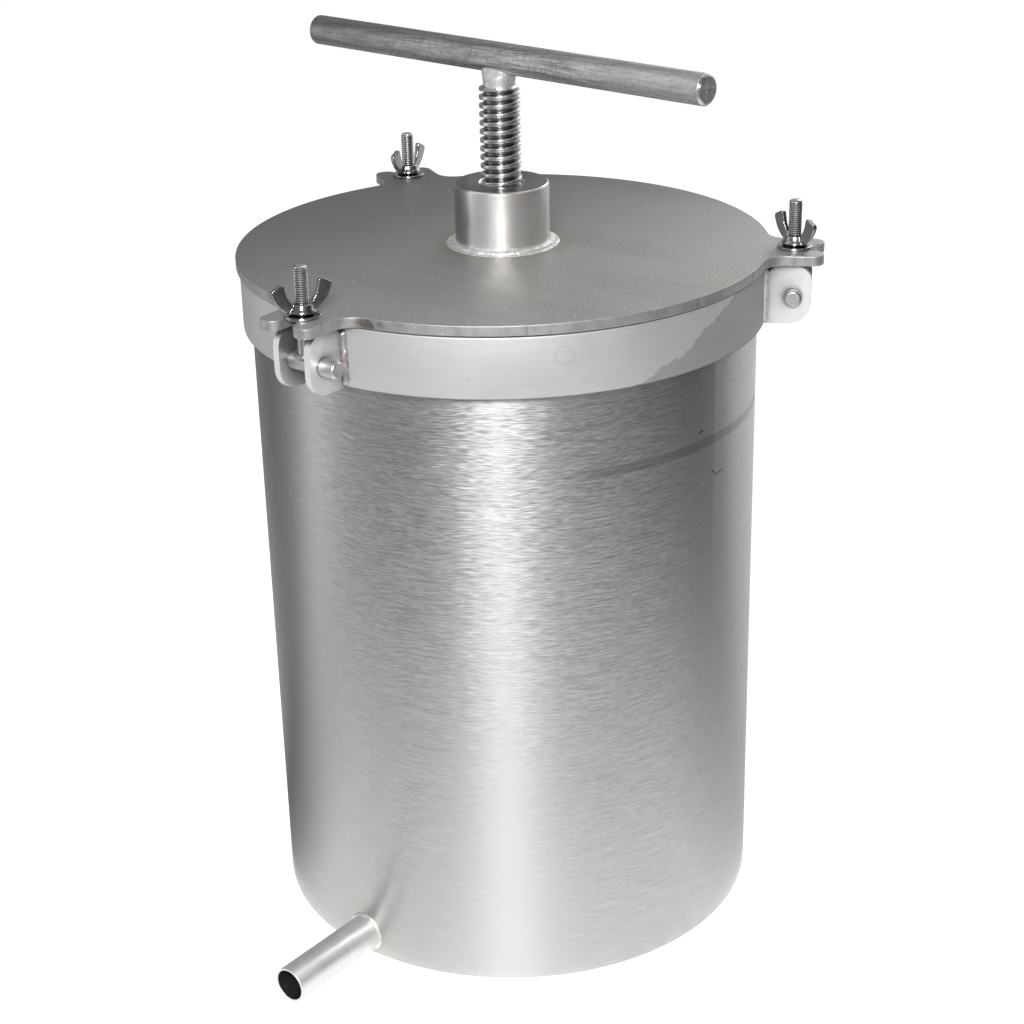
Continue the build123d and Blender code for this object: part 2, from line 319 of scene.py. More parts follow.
paper = Finish("floor_paper", metallic=0.0, roughness=0.9)
paper.set("Specular IOR Level", 0.0)
paper.colour(paper.shades(paper.noise(900, 2), 0.78, 0.8))
seen = paper.add("LightPath").outputs
shown = paper.math("MAXIMUM", seen["Is Camera Ray"], seen["Is Glossy Ray"])
shown = paper.math("MAXIMUM", shown, seen["Is Transmission Ray"])
paper.set("Emission Strength", paper.times(shown, floor_glow))
paper.set("Emission Color", (1, 1, 1, 1))
floor_mesh.materials.append(paper.material)

world = bpy.data.worlds.new("studio_air")
world.use_nodes = True
scene.world = world
air = Nodes(world.node_tree)
air_glow = 0.35
air_white = 1.0
seen = air.add("LightPath").outputs
shown = air.math("MAXIMUM", seen["Is Camera Ray"], seen["Is Glossy Ray"])
strength = air.math("MULTIPLY_ADD", shown, air_white - air_glow, air_glow)
backdrop = air.tree.nodes["Background"].inputs
air.feed(backdrop["Strength"], strength)
air.feed(backdrop["Color"], (1, 1, 1, 1))
print("floor", 2 * floor_half, "m wide")

# %% Grey cards that only reflections see
card_glow = (
    (-180, 0.28), (-152, 0.31), (-125, 0.13), (-106, 0.34), (-92, 1.1), (-74, 0.40), (-58, 0.20),
    (-30, 0.19), (-14, 0.25), (-3, 0.66), (10, 0.31), (25, (0.245, 0.235, 0.222)),
    (58, (0.078, 0.074, 0.069)), (90, (0.060, 0.057, 0.053)),
    (104, 0.17), (118, 0.62), (140, 0.78), (158, 0.80), (180, 0.28),
)
near_glow = (
    (-180, 0.54), (-145, 0.74), (-110, 0.10), (-90, 0.30), (-68, 0.80), (-30, 0.90), (0, 1.0), (60, 0.92),
    (90, 0.58), (110, 0.44), (140, 0.46), (180, 0.54),
)
near_gain = (1.4, 1.4, 1.4)
dome_radius = 4
lens_azimuth = camera_heading - 90


def card_finish(name, near_white):
    """Grey that changes round the set, and turns white close to the drum."""
    card = Finish(name)
    angle = radians(-lens_azimuth)
    spin = card.add("VectorRotate", rotation_type="Z_AXIS", Vector=card.place, Angle=angle)
    x, y = card.axes(spin.outputs[0])[:2]
    share = card.math("MULTIPLY_ADD", card.math("ARCTAN2", y, x), 1 / (2 * pi), 0.5)

    def round_the_set(tones):
        return card.ramp(share, *[((angle + 180) / 360, tone) for angle, tone in tones])

    glow = round_the_set(card_glow)
    if near_white:
        fade = card.ramp(card.from_axis(), (0.26, 0.0), (0.46, 0.30), (0.64, 0.64), (0.80, 0.84), (1.0, 1.0))
        near = card.blend(1.0, round_the_set(near_glow), near_gain, "MULTIPLY")
        glow = card.blend(fade, near, glow)
    emit = card.add("Emission", Color=glow)
    card.feed(card.tree.nodes["Material Output"].inputs["Surface"], emit.outputs[0])
    return card.material


def studio_card(name, profile, near_white, steps=72):
    """A card turned round the drum's axis from a few points of radius and height."""
    mesh = bpy.data.meshes.new(name)
    corners = [
        (radius * cos(2 * pi * k / steps), radius * sin(2 * pi * k / steps), height)
        for radius, height in profile
        for k in range(steps)
    ]
    sides = []
    for low in range(0, (len(profile) - 1) * steps, steps):
        for k in range(steps):
            n = (k + 1) % steps
            sides.append((low + k, low + n, low + steps + n, low + steps + k))
    mesh.from_pydata(corners, [], sides)
    mesh.materials.append(card_finish(name + "_grey", near_white))
    card = bpy.data.objects.new(name, mesh)
    scene.collection.objects.link(card)
    for ray in ("camera", "diffuse", "shadow", "transmission", "volume_scatter"):
        setattr(card, "visible_" + ray, False)
    return card


floor_card = studio_card("floor_card", [(0.155, 0.0), (dome_radius, 0.0)], True)
dome_angles = [radians(angle) for angle in range(0, 90, 6)]
dome_profile = [(dome_radius * cos(angle), dome_radius * sin(angle)) for angle in dome_angles]
dome_card = studio_card("dome_card", dome_profile, False)
print("cards:", floor_card.name, dome_card.name)


# %% Lamps
def softbox(name, azimuth, elevation, reach, size, watts, aim=(0, 0, 0.25)):
    """A square soft light aimed at the drum; azimuth runs from the lens to the right."""
    lamp = bpy.data.lights.new(name, "AREA")
    lamp.size = size
    lamp.energy = watts
    heading = radians(lens_azimuth + azimuth)
    level = cos(radians(elevation))
    direction = Vector((cos(heading) * level, sin(heading) * level, sin(radians(elevation))))
    holder = bpy.data.objects.new(name, lamp)
    holder.location = Vector(aim) + direction * reach
    holder.rotation_euler = direction.to_track_quat("Z", "Y").to_euler()
    scene.collection.objects.link(holder)


softbox("key_light", azimuth=-5, elevation=33, reach=1.7, size=0.40, watts=23)
softbox("rim_light", azimuth=150, elevation=30, reach=1.6, size=0.50, watts=2.5)
softbox("top_light", azimuth=100, elevation=70, reach=1.8, size=0.90, watts=2)
scene.view_settings.view_transform = "Standard"

# %% [markdown]
# ## Drum: brushed sheet
# The drum is rolled from sheet that was ground with a belt, so it carries level scratches that wander up
# and down a little. They stretch every highlight upright: that is the tall white column in the middle.
# Two noises squeezed hard in height make short and long scratches, a third leans the surface to give
# glints, a slow one bends them all, and anisotropy makes the column. The scratches' colour is painted
# strongest where the highlight's flanks would show it, high up and on the front and back as seen from
# the lens, so it fades near the foot and on the two sides, as the glints do. A rubbed ring, a few nicks
# and the heat of the spout's weld add the marks of use.

# %% Finish: brushed drum
drum = Finish("brushed_drum")
drum.brushed_round(0.8)
wander = drum.math("MULTIPLY_ADD", drum.noise(16, 2), 0.009, -0.0045)
lift = drum.add("CombineXYZ", Z=wander)
bent = drum.vector("ADD", drum.place, lift.outputs[0])
short_lines = drum.lines((210, 210, 2500), 0, place=bent)
long_lines = drum.lines((60, 60, 2100), 0, place=bent)
streak = drum.math("MULTIPLY_ADD", long_lines, 0.5, drum.times(short_lines, 0.5))
glint = drum.lines((150, 150, 2300), 0, place=bent)
sheet_tone = (0.575, 0.57, 0.562)
lined = drum.ramp(streak, (0.36, (0.40, 0.396, 0.39)), (0.5, sheet_tone), (0.64, (0.76, 0.756, 0.748)))
x, _, height = drum.axes()
# Painted light: the scratch colour is kept strong high up and on the front and back as seen from the lens,
# where the highlight's flanks show it.
above_foot = drum.step(height, 60 * MM, 340 * MM)
lens_line_share = drum.step(drum.math("ABSOLUTE", drum.towards(lens_azimuth)), 95 * MM, 143 * MM)
lens_line_share = drum.math("MULTIPLY_ADD", lens_line_share, 0.85, 0.15)
painted_streak_share = drum.times(drum.math("MULTIPLY_ADD", above_foot, 0.88, 0.05), lens_line_share)
drum.colour(drum.blend(painted_streak_share, sheet_tone, lined))

ring_wave = drum.math("MULTIPLY_ADD", drum.noise(18, 2), 2 * MM, 324 * MM)
rubbed = drum.band(drum.math("SUBTRACT", height, ring_wave), -2.6 * MM, 2.6 * MM, 0.4 * MM)
rubbed = drum.times(rubbed, drum.step(x, 112 * MM, 134 * MM))
drum.tint(rubbed, 0.45, (0.27, 0.25, 0.23))
nick = drum.stroke((150, -1.5, 306), (150, 2.8, 302), 0.7)
nick = drum.math("MAXIMUM", nick, drum.stroke((150, 2.8, 302), (149.6, 10.5, 303), 0.6))
nick = drum.math("MAXIMUM", nick, drum.stroke((149.6, -14, 332.6), (149.4, -11.4, 333), 1.0))
drum.tint(nick, 0.75, (0.10, 0.09, 0.08))
scratch = drum.stroke((148.5, -21.4, 296), (149.8, -8.2, 301), 0.5)
drum.tint(scratch, 0.5, (0.92, 0.91, 0.90))

under_band = drum.step(height, band_low.z - 7 * MM, band_low.z)
drum.tint(under_band, 0.35, (0.36, 0.31, 0.26))
spout_root = (0, -drum_radius, spout_axis_height)
heat = drum.band(drum.distance(spout_root), 0.0, 15 * MM, 12 * MM)
drum.tint(heat, 0.2, (0.50, 0.45, 0.38))
drum.tint(drum.dots(55, 0.5), 0.7, (1.0, 1.0, 1.0))
drum.roughness(streak, 0.46, 0.36)
glint_share = drum.times(drum.math("MULTIPLY_ADD", above_foot, 0.25, 0.07), lens_line_share)
lean = drum.times(drum.math("SUBTRACT", glint, 0.5), glint_share)
drum.bump(streak, 0.05, 0.4, after=drum.leaned(lean))
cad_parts["drum_shell"].material_slots[0].material = drum.material
print("brushed drum:", len(drum.tree.nodes), "nodes")

# %% [markdown]
# ## Rim band: rolled flat bar
# The band round the rim is thicker bar with a pale mill surface, smoother to the eye and duller than the
# drum. It has water stains with a sharp edge on one side, a faint ring left by a drop, and a dark line
# where its lower edge meets the drum.

# %% Finish: rolled band
band = Finish("rolled_band", metallic=0.7)
grain = band.lines((60, 60, 500), 3, 0.6)
cloud = band.noise(14, 3, 0.55)
band.colour(band.shades(grain, (0.64, 0.64, 0.638), (0.68, 0.678, 0.674)))
band.tint(band.step(cloud, 0.5, 0.62), 0.25, (0.48, 0.476, 0.468))
x, y, height = band.axes()
ragged = band.math("MULTIPLY_ADD", band.noise(70, 4, 0.6, 0.5), 16 * MM, -8 * MM)
stain_slope = 0.48
stain_start = (-61.7 * MM, 373.5 * MM)
tide_line = band.math("MULTIPLY_ADD", y, stain_slope, stain_start[1] - stain_slope * stain_start[0])
below_line = band.math("SUBTRACT", band.math("ADD", tide_line, ragged), height)
stain = band.times(band.step(below_line, 0.0, 0.7 * MM), band.step(x, 100 * MM, 120 * MM))
band.tint(stain, 0.55, (0.33, 0.315, 0.30))
scribe = band.stroke((36.5, -150.7, 391.5), (81.9, -131.6, 385.7), 0.45)
band.tint(scribe, 0.3, (0.42, 0.40, 0.38))
drop_place = (119.8 * MM, -98.4 * MM, 397.0 * MM)
drop_ring = band.band(band.distance(drop_place), 5.0 * MM, 5.3 * MM, 0.3 * MM)
band.tint(drop_ring, 0.35, (0.42, 0.40, 0.38))
foot_line = band.step(height, band_low.z + 1.1 * MM, band_low.z + 0.5 * MM)
band.tint(foot_line, 0.8, (0.16, 0.15, 0.14))
dots = band.step(band.noise(420, 1), 0.78, 0.81)
band.tint(dots, 0.6, (0.25, 0.24, 0.23))
band.roughness(cloud, 0.52, 0.60)
band.bump(grain, 0.05, 0.3)
print("rolled band:", len(band.tree.nodes), "nodes")

# %% [markdown]
# ## Lid: hot-rolled plate
# The lid is plate as it left the mill: matte, peppery, with small scratches from sliding on benches. Its
# cut edge is paler and rougher than its face, and one side of the face is painted darker, standing in
# for the dimmer reflection that side shows.
# Round the boss the weld has left a straw-coloured ring.

# %% Finish: lid plate
lid = Finish("mill_plate", metallic=0.8)
pepper = lid.noise(950, 3, 0.7)
cloud = lid.noise(9, 3, 0.6)
dark, plain, pale = (0.35, 0.342, 0.33), (0.475, 0.467, 0.453), (0.60, 0.592, 0.578)
lid.colour(lid.ramp(pepper, (0.36, dark), (0.5, plain), (0.64, pale)))
lid.tint(lid.step(cloud, 0.42, 0.66), 0.3, (0.44, 0.425, 0.405))
wipes_and_left_reach = lid.lines((7, 34, 1), 3, 0.6, 0.3)
lid.tint(lid.step(wipes_and_left_reach, 0.52, 0.64), 0.25, (0.35, 0.342, 0.33))
scratch_a = lid.step(lid.lines((900, 45, 1), 1), 0.70, 0.74)
scratch_b = lid.step(lid.lines((60, 1000, 1), 1), 0.72, 0.76)
scratch = lid.math("MAXIMUM", scratch_a, scratch_b)
scratch = lid.times(scratch, lid.step(lid.noise(30, 2), 0.5, 0.6))
lid.tint(scratch, 0.5, (0.72, 0.715, 0.70))
heat = lid.band(lid.from_axis(), boss_radius, boss_radius + 9 * MM, 7 * MM)
lid.tint(heat, 0.45, (0.42, 0.36, 0.29))
# Painted shade: the back-left of the lid's face is darkened, standing in for the dimmer reflection there.
painted_dark_side = lid.step(lid.towards(162), -110 * MM, 160 * MM)
lid.tint(painted_dark_side, 0.86, (0.215, 0.211, 0.202))
cut_edge = lid.step(lid.math("ABSOLUTE", lid.facing_up()), 0.8, 0.4)
cut_marks = lid.lines((150, 150, 110), 4, 0.65)
edge_tone = lid.ramp(cut_marks, (0.34, (0.40, 0.397, 0.39)), (0.58, (0.52, 0.518, 0.513)))
seams = lid.step(lid.lines((170, 170, 6), 1), 0.70, 0.73)
edge_tone = lid.blend(lid.times(seams, 0.55), edge_tone, (0.30, 0.29, 0.28))
squash = 2.6
smudge_place = (32 * MM, -153.5 * MM, 412.5 * squash * MM)
smudge_reach = lid.distance(smudge_place, lid.stretched(1, 1, squash))
smudge = lid.times(lid.step(smudge_reach, 13 * MM, 4 * MM), lid.step(cut_marks, 0.36, 0.56))
edge_tone = lid.blend(lid.times(smudge, 0.85), edge_tone, (0.13, 0.105, 0.085))
lid.colour(lid.blend(cut_edge, lid.tone, edge_tone))
lid.tint(lid.dots(115, 0.62), 0.85, (1.0, 1.0, 1.0))
lid.roughness(cloud, 0.46, 0.56)
lid.bump(pepper, 0.06, 0.3)
print("mill plate:", len(lid.tree.nodes), "nodes")

# %% [markdown]
# ## Turned, drawn and bright steel
# The boss is turned on a lathe, so it has fine rings and a narrow upright highlight. The cross bar is
# drawn bar: dull, mottled, with lines along its length. The screw is polished by its own nut. Nuts,
# washers and bolts are bright from the box, the pins are satin, and the clevis plates are sawn from flat
# bar. Thread roots and the corners between pieces are painted darker, as the shade that falls there.

# %% Finish: turned boss
turned = Finish("turned_boss", metallic=0.80)
turned.brushed_round(0.5)
rings = turned.lines((6, 6, 2600), 2)
face_rings = turned.noise(1, 2, place=turned.times(turned.from_axis(), 2600))
cloud = turned.noise(60, 3, 0.6, 0.4)
turned.colour(turned.shades(rings, (0.60, 0.595, 0.59), (0.73, 0.725, 0.72)))
handled = turned.step(turned.towards(lens_azimuth + 62), 6 * MM, 17 * MM)
handled = turned.math("MULTIPLY_ADD", handled, 0.45, 0.1)
turned.tint(turned.step(cloud, 0.40, 0.60), handled, (0.62, 0.58, 0.54))
# Painted reflections: a dark strip along the boss's left edge, and a pale zone between it and the highlight.
to_the_left = turned.towards(lens_azimuth - 90)
wipes_and_left_reach = turned.math("MULTIPLY_ADD", turned.noise(50, 2), 3 * MM, to_the_left)
turned.tint(turned.step(wipes_and_left_reach, 19.5 * MM, 20.3 * MM), 0.72, (0.24, 0.23, 0.245))
turned.tint(turned.band(wipes_and_left_reach, 9 * MM, 19 * MM, 4 * MM), 0.8, (0.95, 0.948, 0.945))
# Painted shade: the boss's level top face is darkened, as the dark reflection it shows.
level = turned.step(turned.facing_up(), 0.9, 0.97)
turned.tint(level, 0.85, (0.12, 0.118, 0.114))
turned.set("Roughness", turned.ramp(cloud, (0.35, 0.27), (0.65, 0.35)))
turned.bump(turned.math("ADD", rings, face_rings), 0.02, 0.2)
print("turned boss:", len(turned.tree.nodes), "nodes")

# %% Finish: polished screw
screw = Finish("polished_screw")
smear = screw.noise(90, 2, 0.5)
screw.colour(screw.shades(smear, (0.76, 0.755, 0.75), (0.86, 0.855, 0.85)))
# Painted shade: the thread roots are darkened.
screw.tint(screw.step(screw.groove(), 0.2, 0.9), 0.75, (0.08, 0.077, 0.074))
screw.roughness(smear, 0.22, 0.28)
screw.bump(screw.lines((60, 60, 500), 2), 0.008, 0.2)
print("polished screw:", len(screw.tree.nodes), "nodes")

# %% Finish: drawn bar of the handle
drawn = Finish("drawn_bar")
lines = drawn.lines((11, 900, 900), 3, 0.6)
mottle = drawn.lines((50, 140, 140), 4, 0.65, 0.3)
pepper = drawn.noise(330, 4, 0.75)
along_bar = drawn.axes()[0]
drawn.colour(drawn.ramp(lines, (0.36, (0.36, 0.356, 0.35)), (0.62, (0.84, 0.835, 0.83))))
drawn.tint(drawn.step(mottle, 0.46, 0.60), 0.2, (0.40, 0.39, 0.38))
drawn.tint(drawn.step(pepper, 0.50, 0.60), 0.45, (0.24, 0.23, 0.22))
# The bar darkens towards its left end.
darker_left_end = drawn.step(along_bar, 60 * MM, -150 * MM)
drawn.tint(darker_left_end, 0.7, (0.25, 0.246, 0.241))
rubbed = drawn.step(drawn.math("MULTIPLY_ADD", mottle, 90 * MM, along_bar), 80 * MM, 150 * MM)
drawn.tint(rubbed, 0.45, (0.86, 0.855, 0.85))
drawn.tint(drawn.dots(160, 0.5), 0.7, (0.08, 0.075, 0.07))
drawn.roughness(mottle, 0.34, 0.5)
drawn.bump(drawn.math("ADD", lines, pepper), 0.10, 0.5)

faced = Finish("faced_bar_end", metallic=0.95)
faced.brushed_round(0.85, "X")
cut = faced.noise(300, 3, 0.6)
faced.colour(faced.shades(cut, (0.62, 0.615, 0.61), (0.76, 0.755, 0.75)))
faced.roughness(cut, 0.22, 0.30)
print("drawn bar:", len(drawn.tree.nodes), "nodes")

# %% Finish: bright fasteners
def fastener_finish(name, dark, pale, groove_share, gloss):
    """Smooth steel with painted shade in thread roots and where pieces meet."""
    finish = Finish(name)
    smear = finish.noise(120, 2, 0.5)
    finish.colour(finish.shades(smear, dark, pale))
    # Painted shade: thread roots and the corners where pieces meet are darkened.
    finish.tint(finish.step(finish.groove(), 0.3, 1.0), groove_share, (0.07, 0.068, 0.066))
    finish.tint(finish.crevice(6), 0.75, (0.06, 0.055, 0.05))
    finish.roughness(smear, gloss, gloss + 0.07)
    finish.bump(finish.noise(200, 2), 0.01, 0.2)
    return finish


bright = fastener_finish("bright_fastener", 0.44, 0.54, 0.85, 0.12)
threaded = fastener_finish("rolled_thread", 0.78, 0.88, 0.60, 0.24)

satin = Finish("satin_pin")
smear = satin.noise(240, 3, 0.6)
satin.colour(satin.shades(smear, (0.60, 0.595, 0.59), (0.70, 0.695, 0.69)))
# Painted shade where the pin meets the pieces beside it.
satin.tint(satin.crevice(5), 0.75, (0.12, 0.10, 0.09))
satin.roughness(smear, 0.36, 0.46)
satin.bump(smear, 0.02, 0.3)
print("bright fasteners:", len(bright.tree.nodes), "nodes")

# %% Finish: sawn clevis plates
sawn = Finish("sawn_flat_bar", metallic=0.75)
saw = sawn.lines((90, 90, 900), 3, 0.6)
cloud = sawn.noise(70, 3, 0.6)
sawn.colour(sawn.shades(saw, (0.91, 0.91, 0.91), (0.95, 0.95, 0.95)))
sawn.tint(sawn.step(cloud, 0.48, 0.64), 0.2, (0.60, 0.585, 0.565))
near_weld = sawn.step(sawn.from_axis(), band_radius + 5 * MM, band_radius + 2 * MM)
sawn.tint(near_weld, 0.2, (0.46, 0.40, 0.37))
# Painted shade between the clevis plates and the pieces beside them.
sawn.tint(sawn.crevice(30, 0.80, 0.42), 0.85, (0.10, 0.097, 0.093))
sawn.roughness(cloud, 0.44, 0.54)
sawn.bump(saw, 0.02, 0.2)
print("sawn flat bar:", len(sawn.tree.nodes), "nodes")

# %% Finish: weld metal
weld = Finish("weld_metal", metallic=0.85)
scale = weld.noise(300, 3, 0.6, 0.5)
tint = weld.noise(90, 2)
weld.colour(weld.ramp(scale, (0.3, (0.60, 0.59, 0.58)), (0.6, (0.84, 0.836, 0.83))))
weld.tint(weld.step(tint, 0.5, 0.64), 0.22, (0.48, 0.38, 0.31))
weld.roughness(scale, 0.58, 0.46)
weld.bump(scale, 0.08, 0.35)

scaled = Finish("scaled_weld")
scale = scaled.noise(260, 3, 0.6, 0.5)
tint = scaled.noise(110, 2)
scaled.colour(scaled.ramp(scale, (0.3, (0.44, 0.42, 0.415)), (0.62, (0.70, 0.68, 0.675))))
scaled.tint(scaled.step(tint, 0.48, 0.64), 0.35, (0.42, 0.34, 0.33))
# Painted shade in the weld's crevices.
scaled.tint(scaled.crevice(3, 0.8, 0.3), 0.85, (0.07, 0.058, 0.052))
scaled.roughness(scale, 0.50, 0.36)
scaled.bump(scale, 0.10, 0.4)
print("weld metal:", len(weld.tree.nodes), "nodes, scaled:", len(scaled.tree.nodes), "nodes")

# %% Finish: gasket rubber, the sheet inside, the spout's tube and its bore
rubber = Finish("gasket_rubber", metallic=0.0)
dust = rubber.noise(400, 3, 0.6)
rubber.colour(rubber.ramp(dust, (0.35, (0.022, 0.021, 0.020)), (0.75, (0.060, 0.057, 0.053))))
rubber.roughness(dust, 0.62, 0.78)
rubber.bump(dust, 0.05, 0.4)

inner = Finish("inner_sheet")
sheen = inner.lines((120, 120, 700), 3, 0.6)
film = inner.noise(20, 3, 0.6)
inner.colour(inner.shades(sheen, (0.50, 0.495, 0.485), (0.62, 0.615, 0.605)))
inner.tint(inner.step(film, 0.5, 0.66), 0.35, (0.48, 0.44, 0.36))
inner.roughness(film, 0.34, 0.48)
inner.bump(sheen, 0.04, 0.3)

tube = Finish("polished_tube", metallic=0.92)
tube.brushed_round(0.4, "Y")
rings = tube.lines((30, 900, 30), 2)
tube.colour(tube.shades(rings, (0.78, 0.777, 0.77), (0.84, 0.837, 0.83)))
tube.roughness(rings, 0.48, 0.56)
tube.bump(rings, 0.01, 0.2)

# Painted shade: the bore is near black, as little light gets into the tube.
bore = Finish("bore_painted_dark", metallic=0.0, roughness=0.6)
bore.set("Specular IOR Level", 0.25)
bore_grain = bore.noise(160, 3, 0.6)
bore.colour(bore.shades(bore_grain, (0.012, 0.011, 0.011), (0.026, 0.024, 0.023)))
bore.bump(bore_grain, 0.1, 0.4)
print("rubber, inner sheet, tube and bore ready")

# %% [markdown]
# ## Making pieces
# Three ways cover nearly every piece. A copy of a solid gets its sharp edges broken by a bevel, because a
# filed edge catches a thin line of light that a perfect edge never shows. A turned piece is a profile
# spun round an axis, with its corners rounded first. A weld is a bead run along a path.


# %% Helpers: finish a piece and break its edges
def keep(name, bm, finish, body, stands_for=(), slot=None, crease=38):
    """Turn a bmesh into a piece that rides on a body."""
    bmesh.ops.recalc_face_normals(bm, faces=bm.faces[:])
    for face in bm.faces:
        face.smooth = True
    for line in bm.edges:
        line.smooth = line.calc_face_angle(pi) < radians(crease)
    mesh = bpy.data.meshes.new(name)
    bm.to_mesh(mesh)
    bm.free()
    mesh.materials.append(finish.material)
    piece = bpy.data.objects.new(name, mesh)
    scene.collection.objects.link(piece)
    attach(piece, body)
    if stands_for:
        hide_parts(*stands_for)
    print(name, "-", len(mesh.polygons), "faces")
    return piece


def modify(piece, name, kind, **settings):
    modifier = piece.modifiers.new(name, kind)
    for setting, value in settings.items():
        setattr(modifier, setting, value)


def broken_edges(node, name, finish, body, width, slot):
    """A copy of a solid with its sharp edges broken."""
    bm = bmesh.new()
    bm.from_mesh(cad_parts[node].data)
    bmesh.ops.remove_doubles(bm, verts=bm.verts[:], dist=0.001 * MM)
    bmesh.ops.dissolve_limit(bm, angle_limit=radians(0.6), verts=bm.verts[:], edges=bm.edges[:])
    piece = keep(name, bm, finish, body, (node,), slot, crease=30)
    bevel = {"width": width, "segments": 3, "limit_method": "ANGLE", "angle_limit": radians(30)}
    modify(piece, "broken_edges", "BEVEL", harden_normals=True, **bevel)


print("edge helper ready")


# %% Helpers: turned pieces
def bend(start, pull, end, steps=8):
    """Points of a curve from start to end, drawn towards a third point."""
    start, pull, end = Vector(start), Vector(pull), Vector(end)
    shares = [k / steps for k in range(steps + 1)]
    return [start * (1 - s) ** 2 + pull * 2 * s * (1 - s) + end * s**2 for s in shares]


def rounded(points, radius, closed=False, steps=3):
    """A profile with each corner swapped for a small curve."""
    points = [Vector(point) for point in points]
    result = []
    for index, corner in enumerate(points):
        if not closed and index in (0, len(points) - 1):
            result.append(corner)
            continue
        before = points[index - 1] - corner
        after = points[(index + 1) % len(points)] - corner
        start = corner + before * min(radius / before.length, 0.45)
        end = corner + after * min(radius / after.length, 0.45)
        result += bend(start, corner, end, steps)
    return result


def turn(bm, profile, steps=64, closed=False, place=Matrix.Identity(4)):
    """Spin a profile of radius and height round the Z axis of a placing matrix."""
    rings = []
    for radius, height in profile:
        count = 1 if radius < 1e-7 else steps
        ring = [
            place @ Vector((radius * cos(2 * pi * k / steps), radius * sin(2 * pi * k / steps), height))
            for k in range(count)
        ]
        rings.append([bm.verts.new(point) for point in ring])
    pairs = list(zip(rings, rings[1:]))
    if closed:
        pairs.append((rings[-1], rings[0]))
    for lower, upper in pairs:
        for k in range(steps):
            n = k + 1
            below = (lower[k % len(lower)], lower[n % len(lower)])
            above = (upper[n % len(upper)], upper[k % len(upper)])
            loop = list(dict.fromkeys(below + above))
            if len(loop) > 2:
                bm.faces.new(loop)


def turned_piece(name, profile, *rest, rounding, steps, closed=False, place=Matrix.Identity(4)):
    """Spin a profile with rounded corners; the rest is what keep asks for."""
    bm = bmesh.new()
    turn(bm, rounded(profile, rounding, closed), steps, closed, place)
    return keep(name, bm, *rest)


def lying(origin, direction):
    """A matrix whose Z axis points along a level direction."""
    z = Vector(direction).normalized()
    x = UP.cross(z).normalized()
    y = z.cross(x)
    return Matrix.Translation(origin) @ Matrix((x, y, z)).transposed().to_4x4()


print("turning helpers ready")

# %% [markdown]
# ## Lid and band
# The lid keeps the outline of its solid and only gets broken edges. The band is turned afresh, with a soft
# roll at its top and bottom corners.

# %% Lid and rim band
broken_edges("lid_plate", "lid_with_ears", lid, "lid", 0.7 * MM, "lid_sheet")


def flat_ring(inner, outer, low, high):
    return [(inner, low), (outer, low), (outer, high), (inner, high)]


band_profile = flat_ring(drum_radius, band_radius, band_low.z, band_high.z)
band_rest = (band, "drum", ("rim_band",), "rim_bar")
turned_piece("rim_bar_ring", band_profile, *band_rest, rounding=0.9 * MM, steps=180, closed=True)

# %% [markdown]
# ## Welds
# A hand weld is a row of small frozen puddles, each lapping the last. The bead here is a quarter round
# swept along a path, swelling once per puddle, with the ripple fronts curved because the middle of a
# puddle freezes last. A little seeded noise keeps two puddles from being alike.


# %% Helper: run a weld bead
# Each row has the bead's two legs and the pitch of its puddles in millimetres, then how far the puddles
# and the noise change its size.
bead_shapes = {
    "full": (3.5, 2.6, 2.4, 0.05, 0.12),
    "puddle": (5.6, 0.9, 9, 0.02, 0.05),
    "fine": (1.6, 1.4, 1.9, 0.02, 0.06),
    "rough": (2.7, 2.5, 4.2, 0.05, 0.20),
    "small": (1.5, 1.8, 1.8, 0.10, 0.13),
}


def run_bead(path, along_first, along_second, shape, seed, closed):
    """Sweep a lumpy quarter round along a corner between two surfaces.

    path gives the corner, along_first and along_second the two surfaces' directions there."""
    first, second, pitch, ripple, lumps = bead_shapes[shape]
    bm = bmesh.new()
    ribs = 9
    start_angle = -14
    sweep = 118
    lump_scale = 320
    count = len(path)
    blunt = 0.3 * MM
    taper = 2.2 * MM
    length = sum((path[k] - path[k - 1]).length for k in range(1, count))
    rows = []
    travelled = 0.0
    for k in range(count):
        if k:
            travelled += (path[k] - path[k - 1]).length
        ends = 1.0
        if not closed:
            ends = min(1.0, (travelled + blunt) / taper, (length - travelled + blunt) / taper)
            ends = sqrt(max(ends, 0.05))
        row = []
        for rib in range(ribs):
            turn_angle = radians(start_angle + sweep * rib / (ribs - 1))
            lag = 0.35 * sin(2 * turn_angle)
            wave = 0.5 + 0.5 * cos(2 * pi * (travelled / (pitch * MM) + lag))
            lump = noise.noise(path[k] * lump_scale + Vector((seed, 0, rib * 0.15)))
            size = ends * (1 + ripple * wave + lumps * lump)
            row.append(
                path[k]
                + along_first[k] * (first * MM) * size * cos(turn_angle)
                + along_second[k] * (second * MM) * size * sin(turn_angle)
            )
        rows.append([bm.verts.new(point) for point in row])
    pairs = list(zip(rows, rows[1:]))
    if closed:
        pairs.append((rows[-1], rows[0]))
    for one, two in pairs:
        for rib in range(ribs):
            n = (rib + 1) % ribs
            bm.faces.new((one[rib], two[rib], two[n], one[n]))
    if not closed:
        bm.faces.new(rows[0])
        bm.faces.new(rows[-1])
    return bm


def ring_bead(corner, outward, upward, shape, steps, seed):
    """Run a closed bead where corner and outward are functions of an angle."""
    angles = [2 * pi * k / steps for k in range(steps)]
    path = [corner(angle) for angle in angles]
    spread = [outward(angle) for angle in angles]
    return run_bead(path, spread, [upward] * steps, shape, seed, closed=True)


print("bead helper ready")

# %% [markdown]
# ## Boss: the press nut
# The nut for the screw is a turned boss let into the lid. Its mouth is countersunk so the screw starts
# easily, and a full bead goes round its foot, with a thin flat puddle where the weld ran out on the lid.

